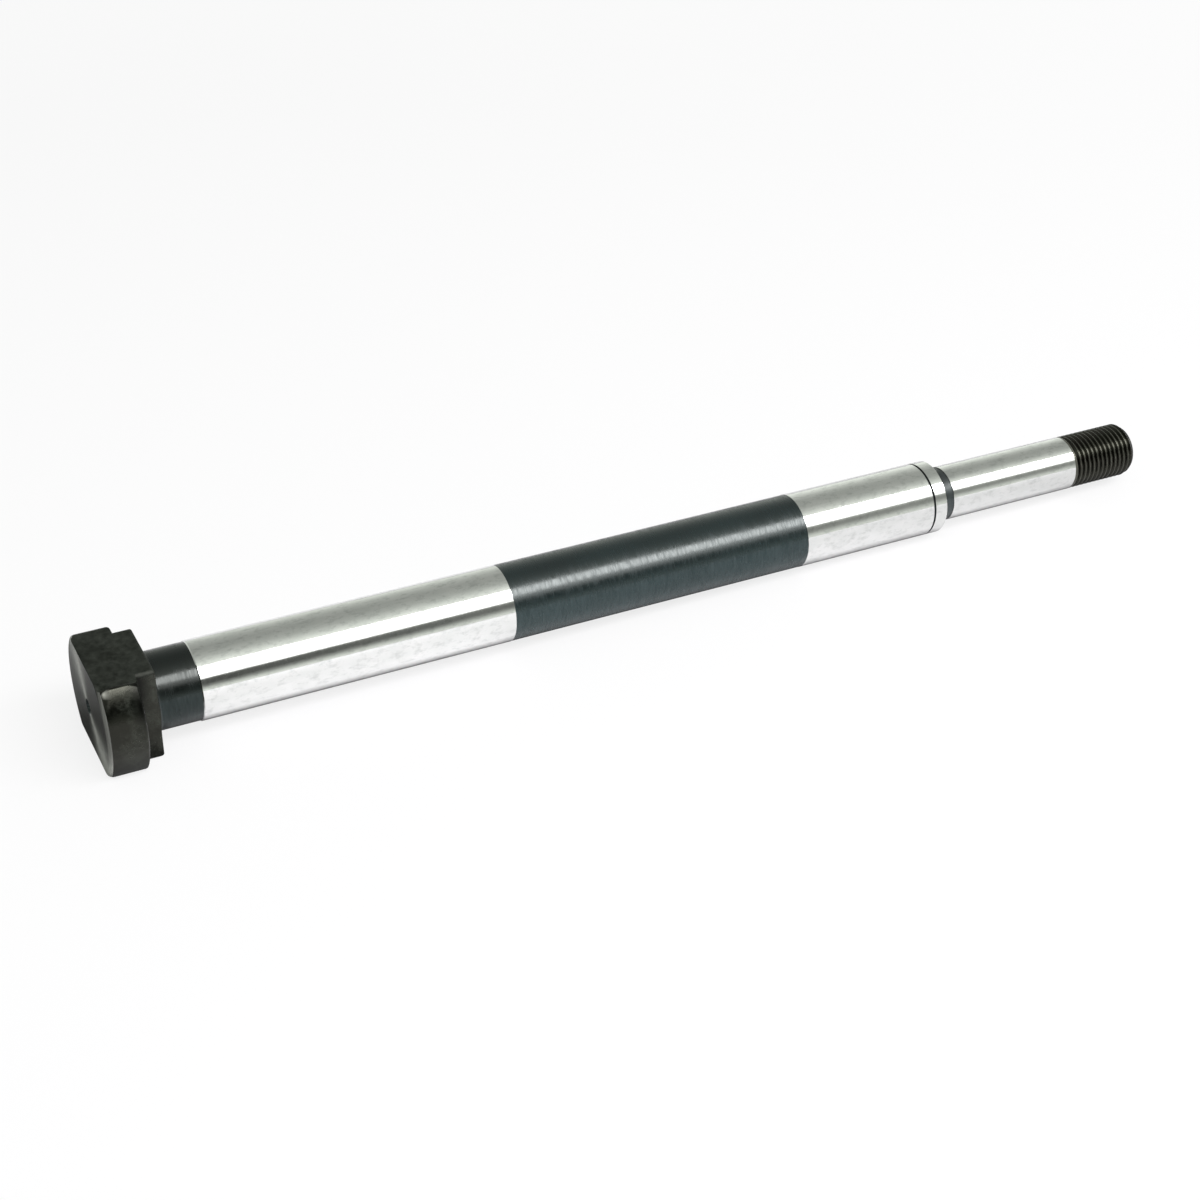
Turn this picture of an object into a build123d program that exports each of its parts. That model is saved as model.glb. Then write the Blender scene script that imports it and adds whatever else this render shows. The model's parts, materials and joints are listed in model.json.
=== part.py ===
from build123d import *
import math
import os

# A shouldered wheel axle, made as one piece: a forged head with two flats, and a turned and ground shaft
# that ends in a thread. Sizes are in millimetres.
# The origin is on the axle's own axis, where the ground shaft begins just after the neck.
# +X runs along the axle to the thread, +Z is square to the head's two flats and +Y runs along them.

# Head: a round disc with two flats, and behind it a narrower block between the same two flats
head_diameter = 34.2
head_across_flats = 23.8
disc_thickness = 9.2
disc_corner_radius = 1.8
disc_front_radius = 1.4
disc_back_radius = 0.7
block_thickness = 4.5
block_width = 19.1
block_corner_radius = 0.9
block_back_radius = 0.7

# Lengths along the shaft, in order from the head
neck_length = 10.2
inner_seat_length = 77.4
middle_length = 81.2
outer_seat_length = 38.0
groove_width = 0.6
collar_width = 3.6
relief_length = 3.6
end_seat_length = 39.1
thread_length = 19.9

# Diameters along the shaft
shaft_diameter = 19.05
neck_diameter = 18.6
end_seat_diameter = 14.29
relief_diameter = 13.9
thread_diameter = 14.2

# The middle stays unground, so it is a little under the seats' size
middle_undersize = 0.05

# Small forms on the shaft: the ring groove, the fillets in its inner corners and its broken edges
groove_depth = 0.5
neck_fillet_radius = 0.9
relief_fillet_radius = 0.4
seat_chamfer = 0.2
collar_chamfer = 0.3
thread_chamfer_length = 1.3
thread_chamfer_depth = 0.9

# Centre holes, drilled in both ends so that the shaft can be turned and ground between centres
centre_mouth_diameter = 3.7
centre_pilot_diameter = 1.6
centre_pilot_depth = 4.5
centre_cone_angle = 60.0
drill_tip_angle = 118.0

# Stations along X, worked out from the lengths: the head lies before the origin and the shaft after it
shoulder_x = -neck_length
disc_back_x = shoulder_x - block_thickness
head_face_x = disc_back_x - disc_thickness
middle_x = inner_seat_length
outer_seat_x = middle_x + middle_length
groove_x = outer_seat_x + outer_seat_length
collar_x = groove_x + groove_width
relief_x = collar_x + collar_width
end_seat_x = relief_x + relief_length
thread_x = end_seat_x + end_seat_length
shaft_end_x = thread_x + thread_length

# Radii, worked out from the diameters
head_radius = head_diameter / 2
shaft_radius = shaft_diameter / 2
neck_radius = neck_diameter / 2
middle_radius = shaft_radius - middle_undersize
groove_radius = shaft_radius - groove_depth
relief_radius = relief_diameter / 2
end_seat_radius = end_seat_diameter / 2
thread_radius = thread_diameter / 2


def corner(face, x, radius):
    """The corner of a flat section that lies nearest to this place, given along the axle and out from it."""
    return face.vertices().sort_by_distance((x, radius, 0))[0]


def turned(section):
    """The solid that a half section makes when it is turned about the axle's axis."""
    return revolve(Plane.XZ * section, axis=Axis.X)


def disc_outline():
    """The disc seen along the axle: a circle cut by two flats, with the four corners rounded."""
    outline = Circle(head_radius) & Rectangle(head_diameter, head_across_flats)
    return fillet(outline.vertices(), disc_corner_radius)


def head_disc():
    """The outer layer of the head: its round sides are turned with rounded rims, and its flats are square."""
    slab = extrude(Plane.YZ.offset(head_face_x) * disc_outline(), amount=disc_thickness)
    section = make_face(
        Polyline(
            (head_face_x, 0),
            (head_face_x, head_radius),
            (disc_back_x, head_radius),
            (disc_back_x, 0),
            close=True,
        )
    )
    section = fillet(corner(section, head_face_x, head_radius), disc_front_radius)
    section = fillet(corner(section, disc_back_x, head_radius), disc_back_radius)
    return slab & turned(section)


def block_prism(end_x):
    """The block's outline seen along the axle, drawn out from the disc's back to a place on the axle."""
    outline = RectangleRounded(block_width, head_across_flats, block_corner_radius)
    return extrude(Plane.YZ.offset(disc_back_x) * outline, amount=end_x - disc_back_x)


def block_slab():
    """The block up to the shoulder. Seen from the side, its back corners at the two flats are rounded."""
    centre_x = (disc_back_x + shoulder_x) / 2
    side = Pos(centre_x, 0) * Rectangle(block_thickness, head_across_flats)
    side = fillet(side.vertices().group_by(Axis.X)[-1], block_back_radius)
    return block_prism(shoulder_x) & extrude(Plane.XZ * side, amount=block_width, both=True)


def neck_flare():
    """The fillet from the neck up to the block's back face. It is wider than the block, whose sides cut it."""
    flare_end_x = shoulder_x + 2 * neck_fillet_radius
    flare_radius = neck_radius + 1.2 * neck_fillet_radius
    section = make_face(
        Polyline(
            (disc_back_x, 0),
            (disc_back_x, flare_radius),
            (shoulder_x, flare_radius),
            (shoulder_x, neck_radius),
            (flare_end_x, neck_radius),
            (flare_end_x, 0),
            close=True,
        )
    )
    section = fillet(corner(section, shoulder_x, neck_radius), neck_fillet_radius)
    return block_prism(flare_end_x) & turned(section)


def shaft():
    """The turned shaft, from the shoulder to the end of the thread, which has its full outer diameter."""
    section = make_face(
        Polyline(
            (shoulder_x, 0),
            (shoulder_x, neck_radius),
            (0, neck_radius),
            (0, shaft_radius),
            (middle_x, shaft_radius),
            (middle_x, middle_radius),
            (outer_seat_x, middle_radius),
            (outer_seat_x, shaft_radius),
            (groove_x, shaft_radius),
            (groove_x, groove_radius),
            (collar_x, groove_radius),
            (collar_x, shaft_radius),
            (relief_x, shaft_radius),
            (relief_x, relief_radius),
            (end_seat_x, relief_radius),
            (end_seat_x, end_seat_radius),
            (thread_x, end_seat_radius),
            (thread_x, thread_radius),
            (shaft_end_x - thread_chamfer_length, thread_radius),
            (shaft_end_x, thread_radius - thread_chamfer_depth),
            (shaft_end_x, 0),
            close=True,
        )
    )
    section = fillet(corner(section, relief_x, relief_radius), relief_fillet_radius)
    section = chamfer(corner(section, 0, shaft_radius), seat_chamfer)
    section = chamfer(corner(section, relief_x, shaft_radius), collar_chamfer)
    return turned(section)


def centre_hole():
    """A centre drill's hole, from a face at the origin into the solid along +X."""
    mouth_radius = centre_mouth_diameter / 2
    pilot_radius = centre_pilot_diameter / 2
    cone_depth = (mouth_radius - pilot_radius) / math.tan(math.radians(centre_cone_angle / 2))
    tip_depth = pilot_radius / math.tan(math.radians(drill_tip_angle / 2))
    section = make_face(
        Polyline(
            (0, 0),
            (0, mouth_radius),
            (cone_depth, pilot_radius),
            (centre_pilot_depth, pilot_radius),
            (centre_pilot_depth + tip_depth, 0),
            close=True,
        )
    )
    return turned(section)


def axle():
    """The whole axle, as one solid."""
    body = head_disc() + block_slab() + neck_flare() + shaft()
    body -= Pos(head_face_x, 0, 0) * centre_hole()
    body -= Pos(shaft_end_x, 0, 0) * mirror(centre_hole(), about=Plane.YZ)
    return body


os.makedirs("parts", exist_ok=True)
export_step(axle(), "parts/axle.step")
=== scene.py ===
import json
import math

import bmesh
import bpy
import numpy as np
from mathutils import Matrix, Vector


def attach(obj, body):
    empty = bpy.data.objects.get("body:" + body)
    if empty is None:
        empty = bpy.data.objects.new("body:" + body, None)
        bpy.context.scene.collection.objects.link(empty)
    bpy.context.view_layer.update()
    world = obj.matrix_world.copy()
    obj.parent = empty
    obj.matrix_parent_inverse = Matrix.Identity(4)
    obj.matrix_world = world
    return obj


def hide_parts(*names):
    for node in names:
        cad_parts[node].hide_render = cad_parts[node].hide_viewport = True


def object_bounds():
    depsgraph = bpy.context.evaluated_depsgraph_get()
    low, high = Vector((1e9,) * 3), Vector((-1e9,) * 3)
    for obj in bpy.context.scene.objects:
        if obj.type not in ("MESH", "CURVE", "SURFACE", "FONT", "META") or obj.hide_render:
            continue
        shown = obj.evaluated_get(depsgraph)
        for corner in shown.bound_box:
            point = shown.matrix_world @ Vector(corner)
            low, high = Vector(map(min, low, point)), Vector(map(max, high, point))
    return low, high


# The looks of a shouldered wheel axle: one closed mesh that stands for the solid, with the thread's turns cut
# in it, and a finish for each zone. Forms are worked out in millimetres and written to the mesh in metres.

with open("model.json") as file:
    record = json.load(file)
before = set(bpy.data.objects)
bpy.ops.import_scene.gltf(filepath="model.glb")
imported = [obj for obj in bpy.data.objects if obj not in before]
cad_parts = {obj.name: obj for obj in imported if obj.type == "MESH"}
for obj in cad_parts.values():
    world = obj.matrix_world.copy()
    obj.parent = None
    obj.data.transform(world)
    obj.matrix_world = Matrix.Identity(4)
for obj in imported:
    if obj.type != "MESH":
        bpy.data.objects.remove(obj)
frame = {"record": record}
cad_low, cad_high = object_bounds()

MM = 0.001
PER_METRE = 1000
MOUNTS = {m["name"]: m for m in frame["record"]["mounts"]}


def mount_x(name):
    """Where a mount of the record lies along the axle, in millimetres."""
    return MOUNTS[name]["pos_m"][0] / MM


# Stations along the axle and main radii, read from the frame
HEAD_FACE_X = cad_low.x / MM
DISC_BACK_X = mount_x("disc_back")
SHOULDER_X = mount_x("shoulder")
SEAT_X = mount_x("shaft")
GROOVE_X = SEAT_X + MOUNTS["shaft"]["dims"]["length_mm"]
COLLAR_END_X = mount_x("collar_end")
SHAFT_END_X = cad_high.x / MM
HEAD_RADIUS = cad_high.y / MM
HALF_ACROSS_FLATS = cad_high.z / MM
SHAFT_RADIUS = MOUNTS["shaft"]["dims"]["r_mm"]
END_SEAT_RADIUS = MOUNTS["end_spigot"]["dims"]["r_mm"]

# Lengths of the zones that the frame doesn't name
INNER_SEAT_LENGTH = 77.4
MIDDLE_LENGTH = 81.2
GROOVE_WIDTH = 0.6
RELIEF_LENGTH = 3.6
END_SEAT_LENGTH = 39.1

# Head
DISC_CORNER_RADIUS = 1.8
DISC_FRONT_RADIUS = 1.4
DISC_BACK_RADIUS = 0.7
FLAT_EDGE_RADIUS = 0.2
BLOCK_HALF_WIDTH = 9.55
BLOCK_CORNER_RADIUS = 0.9
BLOCK_BACK_RADIUS = 0.7
BLOCK_SIDE_EDGE = 0.2

# The disc's near upper corner is crisp half way and falls away in a round towards both of the disc's faces
CRISP_CORNER_RADIUS = 0.7
CORNER_FALL_FRONT = 1.1
CORNER_FALL_BACK = 0.5
CORNER_FALL_REACH = 2.6
CORNER_FALL_START_Y = 9.0
CORNER_FALL_WIDTH = 2.5
CORNER_FALL_START_Z = 5.0

# Shaft
NECK_RADIUS = 9.3
NECK_FILLET = 0.9
MIDDLE_UNDERSIZE = 0.05
GROOVE_DEPTH = 0.5
GROOVE_EDGE = 0.05
SEAT_CHAMFER = 0.2
COLLAR_CHAMFER = 0.3
RELIEF_RADIUS = 6.95
RELIEF_FILLET = 0.4

# Centre holes
CENTRE_MOUTH_RADIUS = 1.85
CENTRE_PILOT_RADIUS = 0.8
CENTRE_PILOT_DEPTH = 4.5
CENTRE_EDGE = 0.12
CENTRE_CONE_ANGLE = 60.0
DRILL_TIP_ANGLE = 118.0

# Thread: 18 turns to the inch, right hand, with a short run-out after the seat and a chamfered end
THREAD_PITCH = 25.4 / 18
THREAD_RADIUS = 7.1
THREAD_DEPTH = 0.80
THREAD_RUN_OUT_START = 0.35
THREAD_RUN_OUT_LENGTH = 1.5
THREAD_CHAMFER_LENGTH = 1.3
THREAD_CHAMFER_DEPTH = 0.9

# Mesh columns in a quarter of the way round, counted from the side to the middle of the flat
SIDE_COLUMNS = 18
CORNER_COLUMNS = 8
OUTER_FLAT_COLUMNS = 8
INNER_FLAT_COLUMNS = 14
QUARTER_COLUMNS = SIDE_COLUMNS + CORNER_COLUMNS + OUTER_FLAT_COLUMNS + INNER_FLAT_COLUMNS
COLUMNS = 4 * QUARTER_COLUMNS

# Rings along the axle: in the faces, in the rounds, in the disc and block, and by length on the shaft
FACE_RINGS = 12
END_FACE_RINGS = 4
COLLAR_FACE_RINGS = 3
ROUND_STEPS = 6
DISC_STEPS = 10
BLOCK_STEPS = 4
NECK_STEPS = 4
ROW_LENGTH = 4.0
SHORT_ROW_LENGTH = 1.0

# Shares of the way from the block's outline to the neck's fillet, where the block's back face has rings
BACK_FACE_SHARES = (0.33, 0.67, 1.0)

# The share of the block's straight side that takes the side's columns, and not the corner's
BLOCK_SIDE_SPLIT = 0.72

# Points closer than this, in metres, are one point. Edges that bend by more than this are sharp.
MERGE_DISTANCE = 1e-7
SHARP_ANGLE = math.radians(32)

# The painted highlight streak on the head's outer face, from the +Y direction towards +Z. It bends at the
# centre.
HIGHLIGHT_STREAK_ANGLE_ABOVE = 58.0
HIGHLIGHT_STREAK_ANGLE_BELOW = 42.0

# Material zones, in the order of the mesh's material slots. The rim is turned with the face, as far as
# the flats, so it has no slot of its own.
FACE, HEAD, NECK, GROUND, MIDDLE, RELIEF, THREAD, FLAT, RIM = range(9)
RIM_DEPTH = 0.75

# The surface that the axle lies on touches the head's lower back edge and the collar's end
REST_TILT = math.atan2(HALF_ACROSS_FLATS - SHAFT_RADIUS, COLLAR_END_X - SHOULDER_X)


def arc(start_degrees, end_degrees, steps):
    """Angles in radians from one direction to another, both ends included."""
    return np.radians(np.linspace(start_degrees, end_degrees, steps + 1))


def around(quarter, x):
    """A closed ring from a quarter outline, mirrored about both of the axle's planes."""
    x = np.broadcast_to(x, len(quarter))
    ahead = np.arange(QUARTER_COLUMNS)
    back = np.arange(QUARTER_COLUMNS, 0, -1)
    parts = []
    for order, side_y, side_z in ((ahead, 1, 1), (back, -1, 1), (ahead, -1, -1), (back, 1, -1)):
        parts.append(np.column_stack([x[order], side_y * quarter[order, 0], side_z * quarter[order, 1]]))
    return np.concatenate(parts)


def circle_quarter(radius):
    """A quarter circle with evenly spread columns."""
    a = arc(0, 90, QUARTER_COLUMNS)
    return radius * np.column_stack([np.cos(a), np.sin(a)])


def circle(x, radius):
    """A round ring at a station along the axle."""
    return around(circle_quarter(radius), x)


def disc_quarter(radius, half_across, corner):
    """A quarter of the flatted disc's outline: round side, corner, and flat in two spans."""
    centre_z = half_across - corner
    centre_y = math.sqrt((radius - corner) ** 2 - centre_z**2)
    corner_start = math.degrees(math.atan2(centre_z, centre_y))
    side = arc(0, corner_start, SIDE_COLUMNS)
    bend = arc(corner_start, 90, CORNER_COLUMNS)[1:]
    flat_split = BLOCK_HALF_WIDTH - BLOCK_CORNER_RADIUS
    outer_y = np.linspace(centre_y, flat_split, OUTER_FLAT_COLUMNS + 1)[1:]
    inner_y = np.linspace(flat_split, 0, INNER_FLAT_COLUMNS + 1)[1:]
    flat_y = np.concatenate([outer_y, inner_y])
    return np.concatenate([
        radius * np.column_stack([np.cos(side), np.sin(side)]),
        np.column_stack([centre_y + corner * np.cos(bend), centre_z + corner * np.sin(bend)]),
        np.column_stack([flat_y, np.full(len(flat_y), half_across)]),
    ])


def block_quarter():
    """A quarter of the block's outline, and its outward directions."""
    corner_y = BLOCK_HALF_WIDTH - BLOCK_CORNER_RADIUS
    corner_z = HALF_ACROSS_FLATS - BLOCK_CORNER_RADIUS
    side_split = BLOCK_SIDE_SPLIT * corner_z
    low_z = np.linspace(0, side_split, SIDE_COLUMNS + 1)
    high_z = np.linspace(side_split, corner_z, CORNER_COLUMNS + 1)[1:]
    side_z = np.concatenate([low_z, high_z])
    bend = arc(0, 90, OUTER_FLAT_COLUMNS)[1:]
    flat_y = np.linspace(corner_y, 0, INNER_FLAT_COLUMNS + 1)[1:]
    points = np.concatenate([
        np.column_stack([np.full(len(side_z), BLOCK_HALF_WIDTH), side_z]),
        np.column_stack([corner_y + BLOCK_CORNER_RADIUS * np.cos(bend),
                         corner_z + BLOCK_CORNER_RADIUS * np.sin(bend)]),
        np.column_stack([flat_y, np.full(len(flat_y), HALF_ACROSS_FLATS)]),
    ])
    outward = np.concatenate([
        np.tile([1.0, 0.0], (len(side_z), 1)),
        np.column_stack([np.cos(bend), np.sin(bend)]),
        np.tile([0.0, 1.0], (len(flat_y), 1)),
    ])
    return points, outward


def smooth(value):
    """Goes smoothly from 0 to 1 as the value does."""
    value = np.clip(value, 0, 1)
    return value * value * (3 - 2 * value)


class Skin:
    """Rings of points from one end of the axle to the other, and the zone of each strip between two rings."""

    def __init__(self):
        self.rings = []
        self.zones = []

    def add(self, ring, zone):
        """Adds a ring. The strip that ends at it belongs to the zone."""
        self.rings.append(ring)
        self.zones.append(zone)

    def run(self, x_end, radius, zone, step=ROW_LENGTH):
        """Adds evenly spaced round rings from the last ring's place to a station."""
        x_start = self.rings[-1][:, 0].max()
        count = max(1, round((x_end - x_start) / step))
        for x in np.linspace(x_start, x_end, count + 1)[1:]:
            self.add(circle(x, radius), zone)


def centre_hole_profile(face_x, inward):
    """Places and radii of a centre hole, from the drill's tip to its mouth. Inward is 1 or -1 along X."""
    tip = CENTRE_PILOT_RADIUS / math.tan(math.radians(DRILL_TIP_ANGLE / 2))
    cone = (CENTRE_MOUTH_RADIUS - CENTRE_PILOT_RADIUS) / math.tan(math.radians(CENTRE_CONE_ANGLE / 2))
    depths = [CENTRE_PILOT_DEPTH + tip, CENTRE_PILOT_DEPTH, cone, CENTRE_EDGE, 0]
    mouth_slope = CENTRE_EDGE * math.tan(math.radians(CENTRE_CONE_ANGLE / 2))
    radii = [0, CENTRE_PILOT_RADIUS, CENTRE_PILOT_RADIUS, CENTRE_MOUTH_RADIUS - mouth_slope,
             CENTRE_MOUTH_RADIUS + CENTRE_EDGE]
    return [(face_x + inward * depth, radius) for depth, radius in zip(depths, radii)]


def round_loss(round_radius, depth):
    """How much a rounded rim takes off at a depth behind the face that it starts from."""
    if depth >= round_radius:
        return 0
    return round_radius - math.sqrt(round_radius**2 - (round_radius - depth) ** 2)


def disc_outline(depth_front, depth_back, corner):
    """A quarter of the disc's outline, at its depths behind the outer face and before the back face."""
    radius = HEAD_RADIUS - round_loss(DISC_FRONT_RADIUS, depth_front)
    radius -= round_loss(DISC_BACK_RADIUS, depth_back)
    half_across = HALF_ACROSS_FLATS - round_loss(FLAT_EDGE_RADIUS, depth_front)
    return disc_quarter(radius, half_across, corner)


def disc_ring(depth_front):
    """A ring of the disc. Its near upper corner is crisp half way, and falls away towards both faces."""
    depth_back = DISC_BACK_X - HEAD_FACE_X - depth_front
    x = HEAD_FACE_X + depth_front
    ring = around(disc_outline(depth_front, depth_back, DISC_CORNER_RADIUS), x)
    crisp = smooth(min(depth_front, depth_back) / CORNER_FALL_REACH)
    near_corner = DISC_CORNER_RADIUS + (CRISP_CORNER_RADIUS - DISC_CORNER_RADIUS) * crisp
    near_quarter = slice(QUARTER_COLUMNS, 2 * QUARTER_COLUMNS)
    ring[near_quarter] = around(disc_outline(depth_front, depth_back, near_corner), x)[near_quarter]
    front = CORNER_FALL_FRONT * (1 - smooth(depth_front / CORNER_FALL_REACH))
    back = CORNER_FALL_BACK * (1 - smooth(depth_back / CORNER_FALL_REACH))
    across = smooth((-ring[:, 1] - CORNER_FALL_START_Y) / CORNER_FALL_WIDTH)
    raised = smooth((ring[:, 2] - CORNER_FALL_START_Z) / (HALF_ACROSS_FLATS - CORNER_FALL_START_Z))
    ring[:, 2] -= (front + back) * across * raised
    return ring


def add_disc(skin):
    """The outer face with its centre hole, the round sides with their rims, and the flats."""
    for x, radius in centre_hole_profile(HEAD_FACE_X, 1):
        skin.add(circle(x, radius), NECK)
    thickness = DISC_BACK_X - HEAD_FACE_X
    mouth = circle(HEAD_FACE_X, CENTRE_MOUTH_RADIUS + CENTRE_EDGE)
    rim = disc_ring(0)
    for k in range(1, FACE_RINGS + 1):
        skin.add(mouth + (rim - mouth) * (k / FACE_RINGS), FACE)
    rounds = 1 - np.cos(arc(0, 90, ROUND_STEPS))
    front = np.concatenate([FLAT_EDGE_RADIUS * rounds[1:4], DISC_FRONT_RADIUS * rounds[2:]])
    back = DISC_BACK_RADIUS * rounds[::-1]
    middle = np.linspace(DISC_FRONT_RADIUS, thickness - DISC_BACK_RADIUS, DISC_STEPS + 1)[1:-1]
    for depth in np.concatenate([np.sort(front), middle, thickness - back]):
        skin.add(disc_ring(depth), RIM if depth < RIM_DEPTH else HEAD)


def add_block(skin):
    """The block behind the disc, between the same flats, with its back edges broken."""
    block, outward = block_quarter()
    disc_edge = disc_ring(DISC_BACK_X - HEAD_FACE_X)
    block_start = around(block, DISC_BACK_X)
    shares = np.linspace(0, 1, BLOCK_STEPS + 1)[1:]
    for share in shares:
        skin.add(disc_edge + (block_start - disc_edge) * share, HEAD)
    reach = np.hypot(block[:, 0], block[:, 1])
    flare_radius = NECK_RADIUS + NECK_FILLET
    rounding = BLOCK_SIDE_EDGE + (BLOCK_BACK_RADIUS - BLOCK_SIDE_EDGE) * outward[:, 1]
    edge = rounding * smooth(reach - flare_radius)
    for share in shares[:-1]:
        x = DISC_BACK_X + (SHOULDER_X - edge - DISC_BACK_X) * share
        skin.add(around(block, x), HEAD)
    for a in arc(0, 90, ROUND_STEPS):
        inset = block - outward * (edge * (1 - math.cos(a)))[:, None]
        skin.add(around(inset, SHOULDER_X - edge * (1 - math.sin(a)) + flare_start(inset)[1]), HEAD)
    return block - outward * edge[:, None]


def flare_start(outline):
    """Where the neck's fillet meets this outline: its angle on the fillet, and how far past the shoulder."""
    reach = np.hypot(outline[:, 0], outline[:, 1])
    missing = np.clip(NECK_RADIUS + NECK_FILLET - reach, 0, NECK_FILLET)
    angle = np.arcsin(missing / NECK_FILLET)
    return angle, NECK_FILLET * (1 - np.cos(angle))


def add_neck(skin, outline):
    """The block's back face, the fillet on it and the neck. Where the fillet is wider than the block, the
    block's side cuts it."""
    direction = outline / np.hypot(outline[:, 0], outline[:, 1])[:, None]
    start, start_x = flare_start(outline)
    fillet_foot = direction * (NECK_RADIUS + NECK_FILLET * (1 - np.sin(start)))[:, None]
    for share in BACK_FACE_SHARES:
        skin.add(around(outline + (fillet_foot - outline) * share, SHOULDER_X + start_x), HEAD)
    for share in np.linspace(0, 1, ROUND_STEPS + 1)[1:]:
        angle = start + (math.pi / 2 - start) * share
        radius = NECK_RADIUS + NECK_FILLET * (1 - np.sin(angle))
        x = SHOULDER_X + NECK_FILLET * (1 - np.cos(angle))
        skin.add(around(direction * radius[:, None], x), NECK)
    even = circle_quarter(1.0)
    for share in np.linspace(0, 1, NECK_STEPS + 1)[1:]:
        mixed = direction + (even - direction) * share
        mixed /= np.hypot(mixed[:, 0], mixed[:, 1])[:, None]
        x = SHOULDER_X + NECK_FILLET + (SEAT_X - SHOULDER_X - NECK_FILLET) * share
        skin.add(around(mixed * NECK_RADIUS, x), NECK)


def add_shaft(skin):
    """The seats, the black middle between them, the ring groove, the collar, the relief and the end seat."""
    middle_x = SEAT_X + INNER_SEAT_LENGTH
    outer_seat_x = middle_x + MIDDLE_LENGTH
    middle_radius = SHAFT_RADIUS - MIDDLE_UNDERSIZE
    skin.add(circle(SEAT_X, SHAFT_RADIUS - SEAT_CHAMFER), NECK)
    skin.add(circle(SEAT_X + SEAT_CHAMFER, SHAFT_RADIUS), GROUND)
    skin.run(middle_x, SHAFT_RADIUS, GROUND)
    skin.add(circle(middle_x, middle_radius), MIDDLE)
    skin.run(outer_seat_x, middle_radius, MIDDLE)
    skin.add(circle(outer_seat_x, SHAFT_RADIUS), MIDDLE)
    skin.run(GROOVE_X - GROOVE_EDGE, SHAFT_RADIUS, GROUND)
    skin.add(circle(GROOVE_X, SHAFT_RADIUS - GROOVE_EDGE), GROUND)
    skin.add(circle(GROOVE_X, SHAFT_RADIUS - GROOVE_DEPTH), RELIEF)
    skin.add(circle(GROOVE_X + GROOVE_WIDTH, SHAFT_RADIUS - GROOVE_DEPTH), RELIEF)
    skin.add(circle(GROOVE_X + GROOVE_WIDTH, SHAFT_RADIUS - GROOVE_EDGE), RELIEF)
    skin.add(circle(GROOVE_X + GROOVE_WIDTH + GROOVE_EDGE, SHAFT_RADIUS), GROUND)
    skin.run(COLLAR_END_X - COLLAR_CHAMFER, SHAFT_RADIUS, GROUND, step=SHORT_ROW_LENGTH)
    collar_face_radius = SHAFT_RADIUS - COLLAR_CHAMFER
    skin.add(circle(COLLAR_END_X, collar_face_radius), GROUND)
    for radius in np.linspace(collar_face_radius, RELIEF_RADIUS + RELIEF_FILLET, COLLAR_FACE_RINGS + 1)[1:]:
        skin.add(circle(COLLAR_END_X, radius), RELIEF)
    for a in arc(0, 90, ROUND_STEPS)[1:]:
        x = COLLAR_END_X + RELIEF_FILLET * (1 - math.cos(a))
        skin.add(circle(x, RELIEF_RADIUS + RELIEF_FILLET * (1 - math.sin(a))), RELIEF)
    end_seat_x = COLLAR_END_X + RELIEF_LENGTH
    skin.run(end_seat_x, RELIEF_RADIUS, RELIEF, step=SHORT_ROW_LENGTH)
    skin.add(circle(end_seat_x, END_SEAT_RADIUS - GROOVE_EDGE), RELIEF)
    skin.add(circle(end_seat_x + GROOVE_EDGE, END_SEAT_RADIUS), GROUND)
    skin.run(end_seat_x + END_SEAT_LENGTH, END_SEAT_RADIUS, GROUND)


def thread_form():
    """One pitch of the thread's section, with a narrow rounded crest and a wider rounded root. Each point is
    a share of the pitch from a crest's middle, and a depth from 0 to 1."""
    crest = [(0.0, 0.0), (0.05, 0.015), (0.085, 0.09)]
    flank = [(0.22, 0.5)]
    root = [(0.35, 0.88), (0.44, 0.985)]
    first_half = crest + flank + root
    second_half = [(1 - share, depth) for share, depth in reversed(first_half[1:])]
    return first_half + [(0.5, 1.0)] + second_half


def thread_radius(x, depth):
    """The thread's radius at a place, where the depth is a share of the full one. It is shallow in the
    run-out, and the end's chamfer cuts it."""
    run_out = smooth((x - thread_start_x() - THREAD_RUN_OUT_START) / THREAD_RUN_OUT_LENGTH)
    cut = THREAD_RADIUS - THREAD_DEPTH * depth * run_out
    beyond = np.clip((x - (SHAFT_END_X - THREAD_CHAMFER_LENGTH)) / THREAD_CHAMFER_LENGTH, 0, 1)
    return np.minimum(cut, THREAD_RADIUS - THREAD_CHAMFER_DEPTH * beyond)


def thread_start_x():
    """Where the threaded end begins."""
    return COLLAR_END_X + RELIEF_LENGTH + END_SEAT_LENGTH


def thread_rows():
    """Rows of points that follow the helix. Each row climbs by one pitch on its way round, so that the crests
    are mesh edges, and its ends are held between the thread's two ends."""
    start = thread_start_x()
    form = thread_form()
    turns = math.ceil((SHAFT_END_X - start) / THREAD_PITCH) + 2
    columns = np.arange(COLUMNS)
    angle = 2 * np.pi * columns / COLUMNS
    rows = []
    for turn in range(-1, turns):
        for share, depth in form:
            x = start + THREAD_PITCH * (turn + share + columns / COLUMNS - 1)
            x = np.clip(x, start, SHAFT_END_X)
            radius = thread_radius(x, depth)
            rows.append(np.column_stack([x, radius * np.cos(angle), radius * np.sin(angle)]))
    return rows, len(form)


def add_end(skin):
    """The chamfered end face of the thread with its centre hole, from the outside in."""
    outer = THREAD_RADIUS - THREAD_CHAMFER_DEPTH
    hole = centre_hole_profile(SHAFT_END_X, -1)[::-1]
    for radius in np.linspace(outer, hole[0][1], END_FACE_RINGS + 1):
        skin.add(circle(SHAFT_END_X, radius), THREAD)
    for x, radius in hole[1:]:
        skin.add(circle(x, radius), THREAD)


def strip_zones(zone):
    """The zone of each face in a strip. The faces on the head's two flats have a finish of their own."""
    zones = np.full(COLUMNS, FACE if zone == RIM else zone)
    if zone in (HEAD, RIM):
        column = np.arange(COLUMNS) % (2 * QUARTER_COLUMNS)
        column = np.minimum(column, 2 * QUARTER_COLUMNS - 1 - column)
        zones[column >= SIDE_COLUMNS + CORNER_COLUMNS] = FLAT
    return zones


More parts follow.
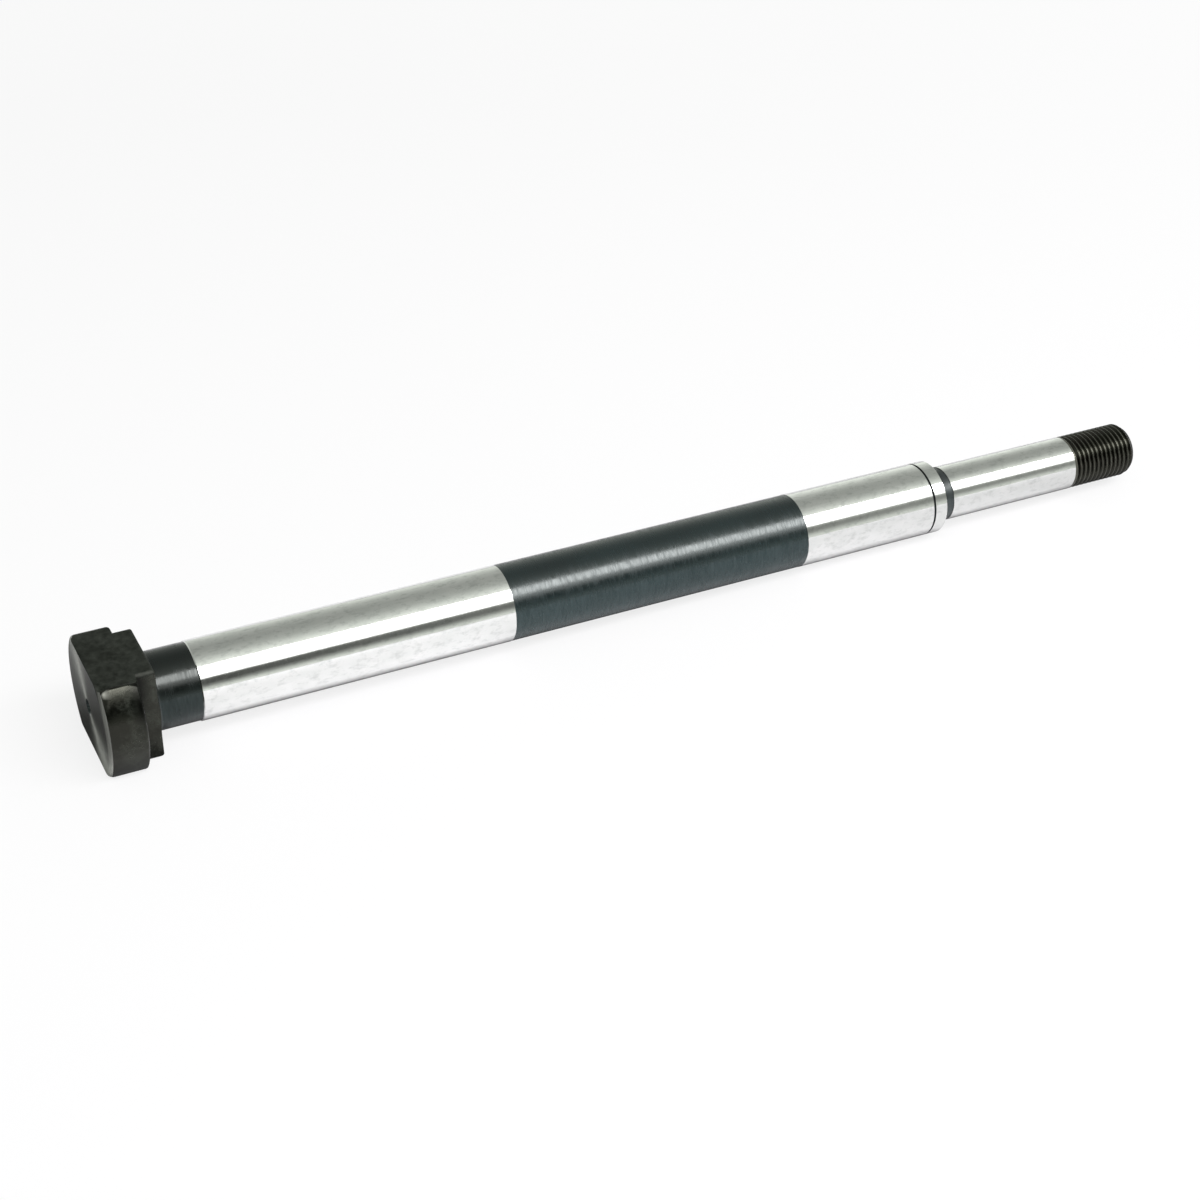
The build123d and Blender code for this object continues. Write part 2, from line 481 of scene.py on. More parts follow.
def strip_faces(first_row, second_row):
    """The faces between two rows of vertex numbers."""
    following = np.roll(np.arange(COLUMNS), -1)
    return np.column_stack([first_row, second_row, second_row[following], first_row[following]])


def skin_mesh():
    """The axle's mesh: plain rings, then the thread's helical rows, then plain rings again."""
    near = Skin()
    add_disc(near)
    outline = add_block(near)
    add_neck(near, outline)
    add_shaft(near)
    near.add(circle(thread_start_x(), THREAD_RADIUS), GROUND)
    helix, row_count = thread_rows()
    far = Skin()
    add_end(far)
    rings = near.rings + helix + far.rings
    numbers = np.arange(len(rings) * COLUMNS).reshape(len(rings), COLUMNS)
    faces, zones = [], []
    for k in range(1, len(near.rings)):
        faces.append(strip_faces(numbers[k - 1], numbers[k]))
        zones.append(strip_zones(near.zones[k]))
    first = len(near.rings)
    for k in range(len(helix) - row_count - 1):
        low, high = numbers[first + k], numbers[first + k + 1]
        next_low = np.append(low[1:], numbers[first + k + row_count][0])
        next_high = np.append(high[1:], numbers[first + k + 1 + row_count][0])
        faces.append(np.column_stack([low, high, next_high, next_low]))
        zones.append(np.full(COLUMNS, THREAD))
    second = first + len(helix)
    for k in range(1, len(far.rings)):
        faces.append(strip_faces(numbers[second + k - 1], numbers[second + k]))
        zones.append(np.full(COLUMNS, far.zones[k]))
    points = np.concatenate(rings) * MM
    return points, np.concatenate(faces), np.concatenate(zones)


def build_axle(materials):
    """The axle as one closed mesh object with its finishes."""
    points, faces, zones = skin_mesh()
    mesh = bpy.data.meshes.new("wheel_axle")
    mesh.from_pydata(points.tolist(), [], faces.tolist())
    mesh.polygons.foreach_set("material_index", zones.astype(np.int32))
    for material in materials:
        mesh.materials.append(material)
    work = bmesh.new()
    work.from_mesh(mesh)
    bmesh.ops.remove_doubles(work, verts=work.verts, dist=MERGE_DISTANCE)
    bmesh.ops.dissolve_degenerate(work, edges=work.edges, dist=MERGE_DISTANCE)
    bmesh.ops.recalc_face_normals(work, faces=work.faces)
    work.to_mesh(mesh)
    work.free()
    mesh.polygons.foreach_set("use_smooth", np.ones(len(mesh.polygons), bool))
    mesh.set_sharp_from_angle(angle=SHARP_ANGLE)
    axle = bpy.data.objects.new("wheel_axle", mesh)
    bpy.context.scene.collection.objects.link(axle)
    weighted = axle.modifiers.new("even shading", "WEIGHTED_NORMAL")
    weighted.keep_sharp = True
    return axle


class Nodes:
    """A short way to write a material's node tree."""

    def __init__(self, tree):
        self.tree = tree
        tree.nodes.clear()

    def add(self, kind, **settings):
        """A node. Settings that name a socket give its value or what is linked to it."""
        node = self.tree.nodes.new(kind)
        for name, value in settings.items():
            if hasattr(node, name):
                setattr(node, name, value)
            else:
                self.plug(node, name.replace("_", " "), value)
        return node

    def plug(self, node, name, value):
        """Sets an input socket, by its number or by its name, to a value or to another socket."""
        socket = node.inputs[int(name)] if name.isdigit() else node.inputs[name]
        if isinstance(value, bpy.types.NodeSocket):
            self.tree.links.new(value, socket)
        else:
            socket.default_value = value

    def math(self, operation, *values):
        """The result of a math node."""
        node = self.add("ShaderNodeMath", operation=operation)
        for number, value in enumerate(values):
            self.plug(node, str(number), value)
        return node.outputs[0]

    def noise(self, vector, scale, detail=3.0, roughness=0.5):
        """A noise value from 0 to 1."""
        node = self.add("ShaderNodeTexNoise", Vector=vector, Scale=scale, Detail=detail, Roughness=roughness)
        return node.outputs["Fac"]

    def stretched(self, scale):
        """Places on the object in metres, with each axis scaled by its own factor."""
        place = self.add("ShaderNodeTexCoord").outputs["Object"]
        return self.add("ShaderNodeMapping", vector_type="POINT", Vector=place, Scale=scale).outputs[0]

    def in_millimetres(self):
        """Places on the object in millimetres."""
        return self.stretched((PER_METRE, PER_METRE, PER_METRE))

    def blend(self, share, low, high):
        """A colour between two, where the share runs from 0 to 1."""
        node = self.add("ShaderNodeMix", data_type="RGBA")
        self.tree.links.new(share, node.inputs[0])
        for number, value in ((6, low), (7, high)):
            self.plug(node, str(number), value)
        return node.outputs[2]

    def between(self, value, low, high, to_low=0.0, to_high=1.0):
        """A value taken from one range to another, held at its ends."""
        node = self.add("ShaderNodeMapRange", Value=value)
        for number, limit in ((1, low), (2, high), (3, to_low), (4, to_high)):
            self.plug(node, str(number), limit)
        return node.outputs[0]

    def bump(self, height, strength, depth_mm):
        """A surface direction that follows a height value."""
        node = self.add("ShaderNodeBump", Strength=strength, Distance=depth_mm * MM, Height=height)
        return node.outputs[0]

    def finish(self, shader):
        """Ends the tree in its output."""
        self.add("ShaderNodeOutputMaterial", Surface=shader.outputs[0])

    def coat(self, **settings):
        """Ends the tree in a surface with these settings."""
        self.finish(self.add("ShaderNodeBsdfPrincipled", **settings))


def new_material(name):
    """An empty node material, and its short writer."""
    material = bpy.data.materials.new(name)
    material.use_nodes = True
    return material, Nodes(material.node_tree)


def from_axis(nodes):
    """The distance from the axle's axis, and the places across it, in millimetres."""
    parts = nodes.add("ShaderNodeSeparateXYZ", Vector=nodes.in_millimetres())
    y, z = parts.outputs["Y"], parts.outputs["Z"]
    squares = nodes.math("MULTIPLY_ADD", y, y, nodes.math("MULTIPLY", z, z))
    return nodes.math("SQRT", squares), y, z


def ring_lines(nodes, lines_per_mm, strokes_per_mm=0.025):
    """Fine lines that run round the shaft, as turning and grinding leave them. Short ones look brushed."""
    across, around_axle = PER_METRE * lines_per_mm, PER_METRE * strokes_per_mm
    return nodes.noise(nodes.stretched((across, around_axle, around_axle)), 1.0, detail=3.0, roughness=0.6)


# The ground bands: their clean steel, and the faint handling marks on it
GROUND_DULL = (0.86, 0.87, 0.855, 1)
GROUND_BRIGHT = (0.93, 0.93, 0.92, 1)
GROUND_MARKED = (0.70, 0.71, 0.70, 1)
GROUND_ROUGHNESS = (0.05, 0.11)


def ground_steel():
    """Cylindrically ground steel, nearly a mirror, with faint lines round it and faint handling marks."""
    material, nodes = new_material("ground_steel")
    lines = ring_lines(nodes, lines_per_mm=1.5)
    cloud = nodes.noise(nodes.stretched((180, 320, 320)), 1.0, detail=4.0)
    clean = nodes.blend(nodes.between(cloud, 0.35, 0.7), GROUND_DULL, GROUND_BRIGHT)
    marks = nodes.noise(nodes.stretched((420, 800, 800)), 1.0, detail=5.0, roughness=0.65)
    colour = nodes.blend(nodes.between(marks, 0.50, 0.72), clean, GROUND_MARKED)
    roughness = nodes.between(lines, 0.3, 0.7, *GROUND_ROUGHNESS)
    normal = nodes.bump(lines, strength=0.08, depth_mm=0.02)
    nodes.coat(Metallic=1.0, Base_Color=colour, Roughness=roughness, Normal=normal)
    return material


# The turned black zones: how far the strokes change their roughness and shine, and the range of heights above
# the axis, in millimetres, over which the painted reflection tint changes
STROKE_RANGE = (0.36, 0.64)
STROKE_ROUGHNESS = 0.09
STROKE_SHINE = (0.60, 0.42)
REFLECTION_TINT_CHANGE = (2.0, 5.0)


def black_steel(name, dark, light, roughness, line_depth, ior, reflection_tint_above, reflection_tint_below):
    """Turned steel with a black finish: brushed strokes round it catch the light along a soft band. Its
    reflection tint changes with height as painted light: a cooler painted floor reflection on the lower half,
    and on the relief a darker upper half as painted shade."""
    material, nodes = new_material(name)
    fine = ring_lines(nodes, lines_per_mm=1.7, strokes_per_mm=0.3)
    broad = ring_lines(nodes, lines_per_mm=0.6, strokes_per_mm=0.16)
    rings = nodes.math("MULTIPLY_ADD", fine, 0.6, nodes.math("MULTIPLY", broad, 0.4))
    cloud = nodes.noise(nodes.stretched((60, 120, 120)), 1.0, detail=3.0)
    colour = nodes.blend(nodes.between(nodes.math("ADD", rings, cloud), 0.7, 1.3), dark, light)
    rough = nodes.between(rings, *STROKE_RANGE, roughness - STROKE_ROUGHNESS, roughness + STROKE_ROUGHNESS)
    shine = nodes.between(rings, *STROKE_RANGE, *STROKE_SHINE)
    _, _, z = from_axis(nodes)
    # Painted light: the reflection tint changes with height above the axis
    tint = nodes.blend(nodes.between(z, *REFLECTION_TINT_CHANGE), reflection_tint_below, reflection_tint_above)
    normal = nodes.bump(rings, strength=line_depth, depth_mm=0.05)
    nodes.coat(Metallic=0.0, Base_Color=colour, Roughness=rough, IOR=ior, Specular_IOR_Level=shine,
               Specular_Tint=tint, Normal=normal)
    return material


# The head's outer face: its darkest and brightest steel, how much the rings and the near rim's painted
# highlight add to the painted highlight streak, and the radii, in millimetres, between which the rim's
# painted highlight rises
FACE_DARK = (0.001, 0.0014, 0.0004, 1)
FACE_BRIGHT = (0.42, 0.425, 0.40, 1)
FACE_RING_SHARE = 0.17
FACE_RIM_HIGHLIGHT_SHARE = 0.3
FACE_RIM_HIGHLIGHT_START = 15.2
FACE_RIM_HIGHLIGHT_END = 16.3


def face_streak(nodes, radius, y, z):
    """The painted highlight streak across the face, which bends at the centre and fades a little towards its
    top.
    """
    turn = nodes.between(z, -4.0, 4.0, math.radians(HIGHLIGHT_STREAK_ANGLE_BELOW), math.radians(HIGHLIGHT_STREAK_ANGLE_ABOVE))
    beside = nodes.math("SUBTRACT", nodes.math("MULTIPLY", y, nodes.math("SINE", turn)),
                        nodes.math("MULTIPLY", z, nodes.math("COSINE", turn)))
    off = nodes.math("DIVIDE", nodes.math("ABSOLUTE", beside), nodes.math("ADD", radius, 0.5))
    highlight_streak = nodes.math("POWER", nodes.between(off, 0.1, 0.9, 1.0, 0.0), 2.0)
    return nodes.math("MULTIPLY", highlight_streak, nodes.between(z, -8.0, 8.0, 1.25, 1.0))


def turned_face():
    """The head's outer face: turned, so that rings run round its centre hole, with a painted highlight streak
    across it and a painted highlight on the rim's near side."""
    material, nodes = new_material("head_face")
    radius, y, z = from_axis(nodes)
    reach = nodes.add("ShaderNodeCombineXYZ", X=radius)
    rings = nodes.noise(reach.outputs[0], 2.2, detail=3.0, roughness=0.6)
    mottle = nodes.noise(nodes.stretched((1, 1, 1)), 350.0, detail=5.0, roughness=0.6)
    # Painted highlight: a bright streak across the face, as a turned face catches the light
    highlight_streak = face_streak(nodes, radius, y, z)
    uneven_highlight = nodes.math("MULTIPLY", highlight_streak, nodes.between(mottle, 0.3, 0.7, 0.6, 1.1))
    level = nodes.math("MULTIPLY_ADD", nodes.between(rings, 0.35, 0.65), FACE_RING_SHARE, uneven_highlight)
    # Painted highlight: the rim is brighter on the near side only
    at_rim_highlight = nodes.between(radius, FACE_RIM_HIGHLIGHT_START, FACE_RIM_HIGHLIGHT_END)
    near_rim_highlight = nodes.math("MULTIPLY", at_rim_highlight, nodes.between(y, 4.0, -4.0))
    level = nodes.math("MULTIPLY_ADD", near_rim_highlight, FACE_RIM_HIGHLIGHT_SHARE, level)
    colour = nodes.blend(nodes.between(level, 0.0, 1.1), FACE_DARK, FACE_BRIGHT)
    height = nodes.math("MULTIPLY_ADD", rings, 0.7, nodes.math("MULTIPLY", mottle, 0.3))
    normal = nodes.bump(height, strength=0.4, depth_mm=0.08)
    nodes.coat(Metallic=0.0, Base_Color=colour, Roughness=0.40, IOR=1.10, Normal=normal)
    return material


# Where the head's black finish is worn off, and where the disc's near upper corner is lightened as wear and a
# painted highlight, in millimetres. On the block's long edges it goes by the sum of the distances from the
# axle's two middle planes, and on the near upper corner by height, side and depth.
WORN_STEEL_AND_HIGHLIGHT = (0.36, 0.36, 0.33, 1)
BLOCK_EDGE_SUM = (20.7, 20.95)
BLOCK_EDGE_WEAR = 0.09
BLOCK_EDGE_GAP = 0.1
CORNER_WEAR_HIGHLIGHT_Z = (10.1, 11.0)
CORNER_WEAR_HIGHLIGHT_Y = (-11.9, -12.4)
CORNER_WEAR_HIGHLIGHT_FULL_DEPTH = 1.3
CORNER_WEAR_HIGHLIGHT_END_DEPTH = 3.2
CORNER_WEAR_HIGHLIGHT_RIM = (0.6, 1.2)


def worn_edges(nodes):
    """How far the black finish is worn off a little along the block's four long edges, and how far the disc's
    near upper corner is lightened most of all, where it meets the outer face, as wear and painted highlight."""
    parts = nodes.add("ShaderNodeSeparateXYZ", Vector=nodes.in_millimetres())
    x, y, z = (parts.outputs[name] for name in "XYZ")
    outward = nodes.math("ADD", nodes.math("ABSOLUTE", y), nodes.math("ABSOLUTE", z))
    on_block = nodes.math("GREATER_THAN", x, DISC_BACK_X + BLOCK_EDGE_GAP)
    edge_wear = nodes.between(outward, *BLOCK_EDGE_SUM, 0.0, BLOCK_EDGE_WEAR)
    block_edge = nodes.math("MULTIPLY", on_block, edge_wear)
    # The near upper corner is lightened partly as wear and partly as a painted highlight
    upper = nodes.math("MULTIPLY", nodes.between(z, *CORNER_WEAR_HIGHLIGHT_Z), nodes.between(y, *CORNER_WEAR_HIGHLIGHT_Y))
    fading = nodes.between(x, HEAD_FACE_X + CORNER_WEAR_HIGHLIGHT_END_DEPTH, HEAD_FACE_X + CORNER_WEAR_HIGHLIGHT_FULL_DEPTH)
    behind_rim = nodes.between(x, *(HEAD_FACE_X + depth for depth in CORNER_WEAR_HIGHLIGHT_RIM))
    front = nodes.math("MULTIPLY", nodes.math("POWER", fading, 2.0), behind_rim)
    return nodes.math("MAXIMUM", block_edge, nodes.math("MULTIPLY", upper, front))


# The forged finish: how far its mottle changes the roughness, and the depths behind the outer face, in
# millimetres, between which the painted front shade fades
FORGED_ROUGHNESS = 0.07
FRONT_SHADE_START = 2
FRONT_SHADE_END = 6

# Painted shade makes the same finish darker on both sides of the disc's back, by these distances in
# millimetres:
# how far the shade reaches along the axle, where it is full, and the height at which it is full
BACK_SHADE_REACH = 3.5
BACK_SHADE_FULL = 0.8
BACK_SHADE_HEIGHT = 6.0


def back_shade(nodes):
    """How far painted shade darkens the disc's back edge and the start of the block, above the middle plane.
    """
    parts = nodes.add("ShaderNodeSeparateXYZ", Vector=nodes.in_millimetres())
    x, z = parts.outputs["X"], parts.outputs["Z"]
    before = nodes.between(x, DISC_BACK_X - BACK_SHADE_REACH, DISC_BACK_X - BACK_SHADE_FULL)
    after = nodes.between(x, DISC_BACK_X + BACK_SHADE_REACH, DISC_BACK_X + BACK_SHADE_FULL)
    along = nodes.math("MINIMUM", before, after)
    return nodes.math("MULTIPLY", along, nodes.between(z, 0.0, BACK_SHADE_HEIGHT))


def forged_steel(name, dark, light, roughness, ior, depth, tint=(1, 1, 1, 1), front_shade=0.0,
                 back_shade_tint=None):
    """Blackened forged steel, mottled, with a fine grain. The front shade is painted shade that darkens it
    near the outer face, and the back shade tint is painted shade on both sides of the disc's back."""
    material, nodes = new_material(name)
    place = nodes.stretched((1, 1, 1))
    mottle = nodes.noise(place, 650.0, detail=5.0, roughness=0.65)
    grain = nodes.noise(place, 2600.0, detail=3.0)
    patches = nodes.noise(place, 130.0, detail=2.0)
    tone = nodes.math("MULTIPLY_ADD", mottle, 0.6, nodes.math("MULTIPLY", patches, 0.4))
    x = nodes.add("ShaderNodeSeparateXYZ", Vector=place).outputs["X"]
    shade_start, shade_end = ((HEAD_FACE_X + d) * MM for d in (FRONT_SHADE_START, FRONT_SHADE_END))
    # Painted shade: the head is darker near the outer face
    shade = nodes.between(x, shade_start, shade_end, -front_shade, 0.0)
    black = nodes.blend(nodes.between(nodes.math("ADD", tone, shade), 0.38, 0.62), dark, light)
    if back_shade_tint:
        # Painted shade: darker colour and reflection on both sides of the disc's back, above the middle plane
        shaded = back_shade(nodes)
        black = nodes.blend(shaded, black, dark)
        tint = nodes.blend(shaded, tint, back_shade_tint)
    colour = nodes.blend(worn_edges(nodes), black, WORN_STEEL_AND_HIGHLIGHT)
    rough = nodes.between(mottle, 0.35, 0.65, roughness - FORGED_ROUGHNESS, roughness + FORGED_ROUGHNESS)
    height = nodes.math("MULTIPLY_ADD", mottle, 0.7, nodes.math("MULTIPLY", grain, 0.3))
    normal = nodes.bump(height, strength=depth, depth_mm=0.1)
    nodes.coat(Metallic=0.0, Base_Color=colour, Roughness=rough, IOR=ior, Specular_Tint=tint, Normal=normal)
    return material


# The thread's black, and its brighter crests with their depths under the full radius, in millimetres
THREAD_BLACK = (0.0006, 0.0005, 0.0002, 1)
THREAD_CREST = (0.075, 0.075, 0.064, 1)
CREST_START_DEPTH = 0.08
CREST_FULL_DEPTH = 0.015


def thread_steel():
    """The black thread, with its crests a little lighter."""
    material, nodes = new_material("thread_black")
    radius, _, _ = from_axis(nodes)
    cloud = nodes.noise(nodes.stretched((150, 150, 150)), 1.0, detail=4.0)
    crest = nodes.between(radius, THREAD_RADIUS - CREST_START_DEPTH, THREAD_RADIUS - CREST_FULL_DEPTH)
    crest_share = nodes.math("MULTIPLY", crest, nodes.between(cloud, 0.3, 0.7, 0.3, 1.0))
    colour = nodes.blend(crest_share, THREAD_BLACK, THREAD_CREST)
    nodes.coat(Metallic=0.0, Base_Color=colour, Roughness=0.18, IOR=1.50, Specular_Tint=(1, 1, 0.82, 1))
    return material


def head_black():
    """The sides of the head's disc and block."""
    return forged_steel("head_black", dark=(0.0002, 0.0004, 0.0002, 1), light=(0.022, 0.025, 0.021, 1),
                        roughness=0.20, ior=1.44, depth=0.22, tint=(1, 1, 0.84, 1), front_shade=0.16,
                        back_shade_tint=(0.42, 0.42, 0.38, 1))


def flat_black():
    """The head's two flats, duller than its sides."""
    return forged_steel("flat_black", dark=(0.003, 0.0042, 0.0022, 1), light=(0.028, 0.031, 0.026, 1),
                        roughness=0.60, ior=1.25, depth=0.45)


def neck_black():
    """The neck, glossy and cool."""
    return black_steel("neck_black", dark=(0.002, 0.003, 0.0027, 1), light=(0.005, 0.008, 0.0075, 1),
                       roughness=0.21, line_depth=0.2, ior=1.52,
                       reflection_tint_above=(0.96, 1, 0.98, 1), reflection_tint_below=(0.82, 1, 1, 1))


def middle_black():
    """The unground middle, with clearer strokes than the neck."""
    return black_steel("middle_black", dark=(0.0005, 0.005, 0.006, 1), light=(0.003, 0.0105, 0.012, 1),
                       roughness=0.25, line_depth=0.3, ior=1.72,
                       reflection_tint_above=(0.95, 1, 1, 1), reflection_tint_below=(0.80, 1, 1.02, 1))


def relief_black():
    """The relief and the ring groove, a little greyer than the middle, with the upper half's reflection
    darkened as painted shade.
    """
    return black_steel("relief_black", dark=(0.010, 0.012, 0.012, 1), light=(0.022, 0.025, 0.026, 1),
                       roughness=0.35, line_depth=0.2, ior=1.78,
                       reflection_tint_above=(0.60, 0.64, 0.64, 1), reflection_tint_below=(0.87, 1, 1.03, 1))


def axle_materials():
    """The finishes, in the order of the zones."""
    return [
        turned_face(),
        head_black(),
        neck_black(),
        ground_steel(),
        middle_black(),
        relief_black(),
        thread_steel(),
        flat_black(),
    ]


# Studio. The sky's light levels by direction round the axle, in degrees from the horizon on the camera's side
# (0), over the top (90), to the horizon behind (180). One list is for directions close to square across the
# axle, and one for those that lean towards the thread.
NEAR_SKY = (
    (0, 0.85), (7, 0.49), (13, 0.22), (19, 0.085), (29, 0.085), (36, 0.40), (70, 0.95), (83, 0.66),
    (96, 0.445), (112, 0.34), (126, 0.31), (143, 0.37), (157, 0.46), (170, 0.62), (180, 0.75),
)
FAR_SKY = (
    (0, 0.76), (7, 0.58), (13, 0.41), (19, 0.28), (26, 0.27), (33, 0.50), (70, 0.82), (83, 0.54),
    (96, 0.38), (112, 0.34), (126, 0.36), (143, 0.50), (157, 0.70), (170, 0.90), (180, 1.0),
)
SKY_TINT = (0.955, 1.0, 0.925)
BELOW_HORIZON = (0.9, 0.9, 0.9, 1)
WHITE = (1, 1, 1, 1)

# The leans towards the thread at which each list holds alone, as the direction's part along the axle
NEAR_LEAN = 0.20
FAR_LEAN = 0.53


def sky_ramp(nodes, share, stops):
    """Light levels by the angle round the axle, as a colour ramp."""
    ramp = nodes.add("ShaderNodeValToRGB", Fac=share)
    elements = ramp.color_ramp.elements
    while len(elements) > 1:
        elements.remove(elements[-1])
    for number, (degrees, level) in enumerate(stops):
        stop = elements[0] if number == 0 else elements.new(degrees / 180)
        stop.position = degrees / 180
        stop.color = (*(level * tint for tint in SKY_TINT), 1)
    return ramp.outputs["Color"]


def build_world():
    """A pale backdrop behind, a soft glow above and a darker room below the lamp. The room is less dark
    towards the thread's end. The camera sees white."""
    world = bpy.data.worlds.new("studio")
    bpy.context.scene.world = world
    world.use_nodes = True
    nodes = Nodes(world.node_tree)
    direction = nodes.add("ShaderNodeTexCoord").outputs["Generated"]
    parts = nodes.add("ShaderNodeSeparateXYZ", Vector=direction)
    towards_camera = nodes.math("MULTIPLY", parts.outputs["Y"], -1.0)
    angle = nodes.math("ARCTAN2", parts.outputs["Z"], towards_camera)
    share = nodes.math("DIVIDE", angle, math.pi)
    along = nodes.between(parts.outputs["X"], NEAR_LEAN, FAR_LEAN)
    sky = nodes.blend(along, sky_ramp(nodes, share, NEAR_SKY), sky_ramp(nodes, share, FAR_SKY))
    below = nodes.math("LESS_THAN", parts.outputs["Z"], 0.0)
    light = nodes.blend(below, sky, BELOW_HORIZON)
    seen = nodes.add("ShaderNodeLightPath").outputs["Is Camera Ray"]
    shown = nodes.blend(seen, light, WHITE)
    background = nodes.add("ShaderNodeBackground", Color=shown)
    nodes.add("ShaderNodeOutputWorld", Surface=background.outputs[0])


# The floor: half its side in metres, its colour, and how red and blue stand to green in it
FLOOR_HALF_SIZE = 4.0
FLOOR_WHITE = 0.83
FLOOR_BALANCE = (1.02, 1.04)

# How much of the floor's whiteness is its own glow, as the camera and as mirror surfaces see it. As the
# camera sees it, it rises to a full glow between these distances from the head, in metres.
FLOOR_GLOW_SEEN = 0.8
FLOOR_GLOW_MIRRORED = 0.05
FULL_GLOW_RISE = (0.4, 1.0)

# The axle's painted soft contact shade on the floor, as mirror surfaces see it: its levels close to the axle
# and at the far end, how far it reaches to the side, and where and by how much it is wider or narrower.
# Distances are in metres, and the places along the floor are counted from the shoulder.
FLOOR_NEAR_SHADE = 0.3
FLOOR_FAR_SHADE = 0.75
SHADE_REACH = (0.004, 0.0095)
HEAD_SHADE_PLACE = (-0.002, 0.004)
HEAD_SHADE_WIDER = 0.010
END_SHADE_PLACE = (0.208, 0.214)
END_SHADE_NARROWER = 0.002
FAR_SHADE_PLACE = (0.10, 0.25)


def floor_shade(nodes, on_floor):
    """How light the floor is at a place, as painted shade: darker close beside the axle and towards its far
    end.
    """
    place = nodes.add("ShaderNodeSeparateXYZ", Vector=on_floor)
    x = place.outputs["X"]
    beside = nodes.math("ABSOLUTE", place.outputs["Y"])
    wider = nodes.between(x, *HEAD_SHADE_PLACE, HEAD_SHADE_WIDER, 0.0)
    narrower = nodes.between(x, *END_SHADE_PLACE, 0.0, END_SHADE_NARROWER)
    clear = nodes.math("SUBTRACT", nodes.math("ADD", beside, narrower), wider)
    # Painted shade: the floor is darker close beside the axle
    near_axle = nodes.between(clear, *SHADE_REACH, FLOOR_NEAR_SHADE, 1.0)
    far_end = nodes.between(x, *FAR_SHADE_PLACE, 1.0, FLOOR_FAR_SHADE)
    return nodes.math("MULTIPLY", near_axle, far_end)


def floor_finish():
    """The floor's finish: part white surface, which takes the axle's shadow and, for all but the camera, a
    painted shade, and part glow.
    """
    material, nodes = new_material("floor_white")
    path = nodes.add("ShaderNodeLightPath")
    by_camera = path.outputs["Is Camera Ray"]
    mirrored = nodes.math("MAXIMUM", path.outputs["Is Glossy Ray"], path.outputs["Is Transmission Ray"])
    on_floor = nodes.add("ShaderNodeTexCoord").outputs["Object"]
    distance = nodes.add("ShaderNodeVectorMath", operation="LENGTH")
    nodes.plug(distance, "0", on_floor)
    seen_glow = nodes.between(distance.outputs["Value"], *FULL_GLOW_RISE, FLOOR_GLOW_SEEN, 1.0)
    glow_share = nodes.math("MULTIPLY_ADD", by_camera, seen_glow,
                            nodes.math("MULTIPLY", mirrored, FLOOR_GLOW_MIRRORED))
    shade = nodes.math("MAXIMUM", floor_shade(nodes, on_floor), by_camera)
    white = nodes.math("MULTIPLY", shade, FLOOR_WHITE)
    red, blue = (nodes.math("MULTIPLY", white, balance) for balance in FLOOR_BALANCE)
    colour = nodes.add("ShaderNodeCombineXYZ", X=red, Y=white, Z=blue)
    diffuse = nodes.add("ShaderNodeBsdfDiffuse", Color=colour.outputs[0])
    glow = nodes.add("ShaderNodeEmission", Color=WHITE, Strength=1.0)
    mix = nodes.add("ShaderNodeMixShader")
    nodes.plug(mix, "0", glow_share)
    nodes.plug(mix, "1", diffuse.outputs[0])
    nodes.plug(mix, "2", glow.outputs[0])
    nodes.finish(mix)
    return material


def build_floor():
    """A pale surface under the axle, tilted as the axle lies on it. It keeps the axle's shadow."""
    half = FLOOR_HALF_SIZE
    corners = [(-half, -half, 0), (half, -half, 0), (half, half, 0), (-half, half, 0)]
    mesh = bpy.data.meshes.new("floor")
    mesh.from_pydata(corners, [], [(0, 1, 2, 3)])
    mesh.materials.append(floor_finish())
    floor = bpy.data.objects.new("floor", mesh)
    bpy.context.scene.collection.objects.link(floor)
    floor.location = (SHOULDER_X * MM, 0, -HALF_ACROSS_FLATS * MM)
    floor.rotation_euler = (0, -REST_TILT, 0)


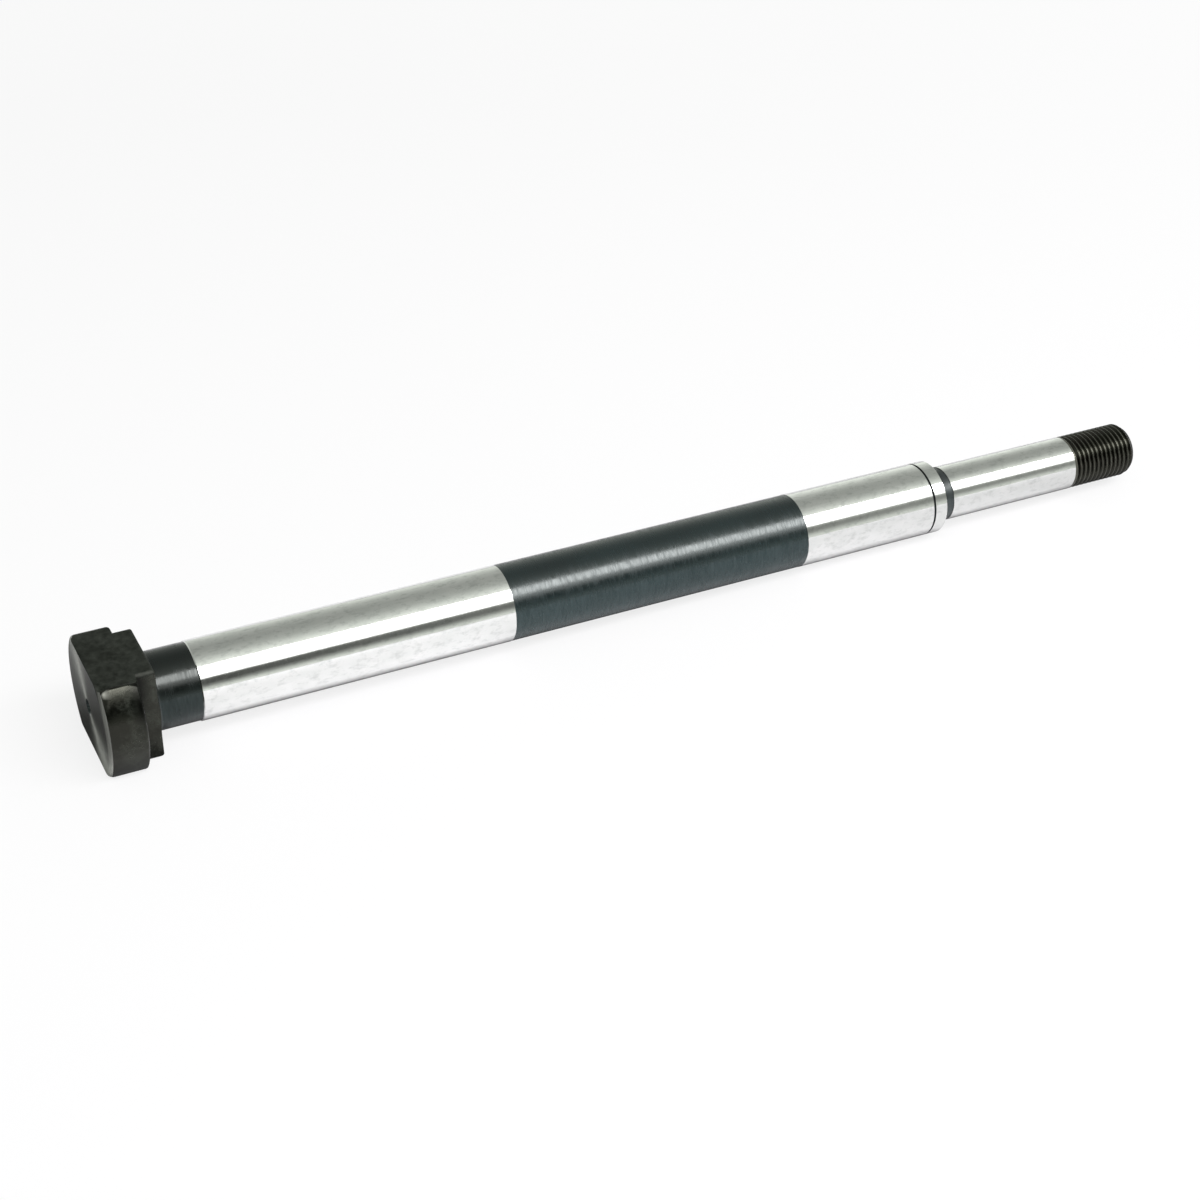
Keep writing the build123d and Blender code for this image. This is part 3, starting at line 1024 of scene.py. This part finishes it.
def add_lamp(name, round_degrees, along, distance, length, width, radiance):
    """A rectangular lamp that faces the axle, placed by its direction round it, where it lies along it and
    how far off it is."""
    data = bpy.data.lights.new(name, "AREA")
    data.shape = "RECTANGLE"
    data.size = length
    data.size_y = width
    data.energy = radiance * math.pi * length * width
    lamp = bpy.data.objects.new(name, data)
    bpy.context.scene.collection.objects.link(lamp)
    a = math.radians(round_degrees)
    outward = Vector((0, -math.cos(a), math.sin(a)))
    along_axle = Vector((1, 0, 0))
    turn = Matrix((along_axle, outward.cross(along_axle), outward)).transposed()
    lamp.matrix_world = Matrix.Translation(Vector((along, 0, 0)) + outward * distance) @ turn.to_4x4()


def build_lamps():
    """A large soft box above the camera's side, with a brighter middle."""
    add_lamp("soft_box", round_degrees=50.5, along=0.40, distance=0.9,
             length=1.5, width=0.56, radiance=1.1)
    add_lamp("soft_box_middle", round_degrees=56.0, along=0.42, distance=0.88,
             length=1.1, width=0.32, radiance=6.2)


# Camera, fitted to the photograph: a square picture, seen from above on the head's side
CAMERA_PLACE = Vector((-0.09784, -0.40093, 0.28565))
CAMERA_AZIMUTH = 26.77
CAMERA_ELEVATION = 33.037
CAMERA_ROLL = 1.077
CAMERA_LENS = 64.546
SENSOR_WIDTH = 36.0
CLIP_START = 0.01
CLIP_END = 20.0


def build_camera():
    """The camera at the photograph's place."""
    a, e, r = (math.radians(v) for v in (CAMERA_AZIMUTH, CAMERA_ELEVATION, CAMERA_ROLL))
    forward = Vector((math.sin(a) * math.cos(e), math.cos(a) * math.cos(e), -math.sin(e)))
    level = Vector((math.cos(a), -math.sin(a), 0))
    upright = level.cross(forward)
    right = level * math.cos(r) + upright * math.sin(r)
    up = upright * math.cos(r) - level * math.sin(r)
    data = bpy.data.cameras.new("camera")
    data.lens = CAMERA_LENS
    data.sensor_width = SENSOR_WIDTH
    data.clip_start = CLIP_START
    data.clip_end = CLIP_END
    camera = bpy.data.objects.new("camera", data)
    bpy.context.scene.collection.objects.link(camera)
    turn = Matrix((right, up, -forward)).transposed()
    camera.matrix_world = Matrix.Translation(CAMERA_PLACE) @ turn.to_4x4()
    bpy.context.scene.camera = camera


build_camera()
axle = build_axle(axle_materials())
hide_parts("axle")
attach(axle, "root")
build_floor()
build_lamps()
build_world()
bpy.context.scene.view_settings.view_transform = "Standard"
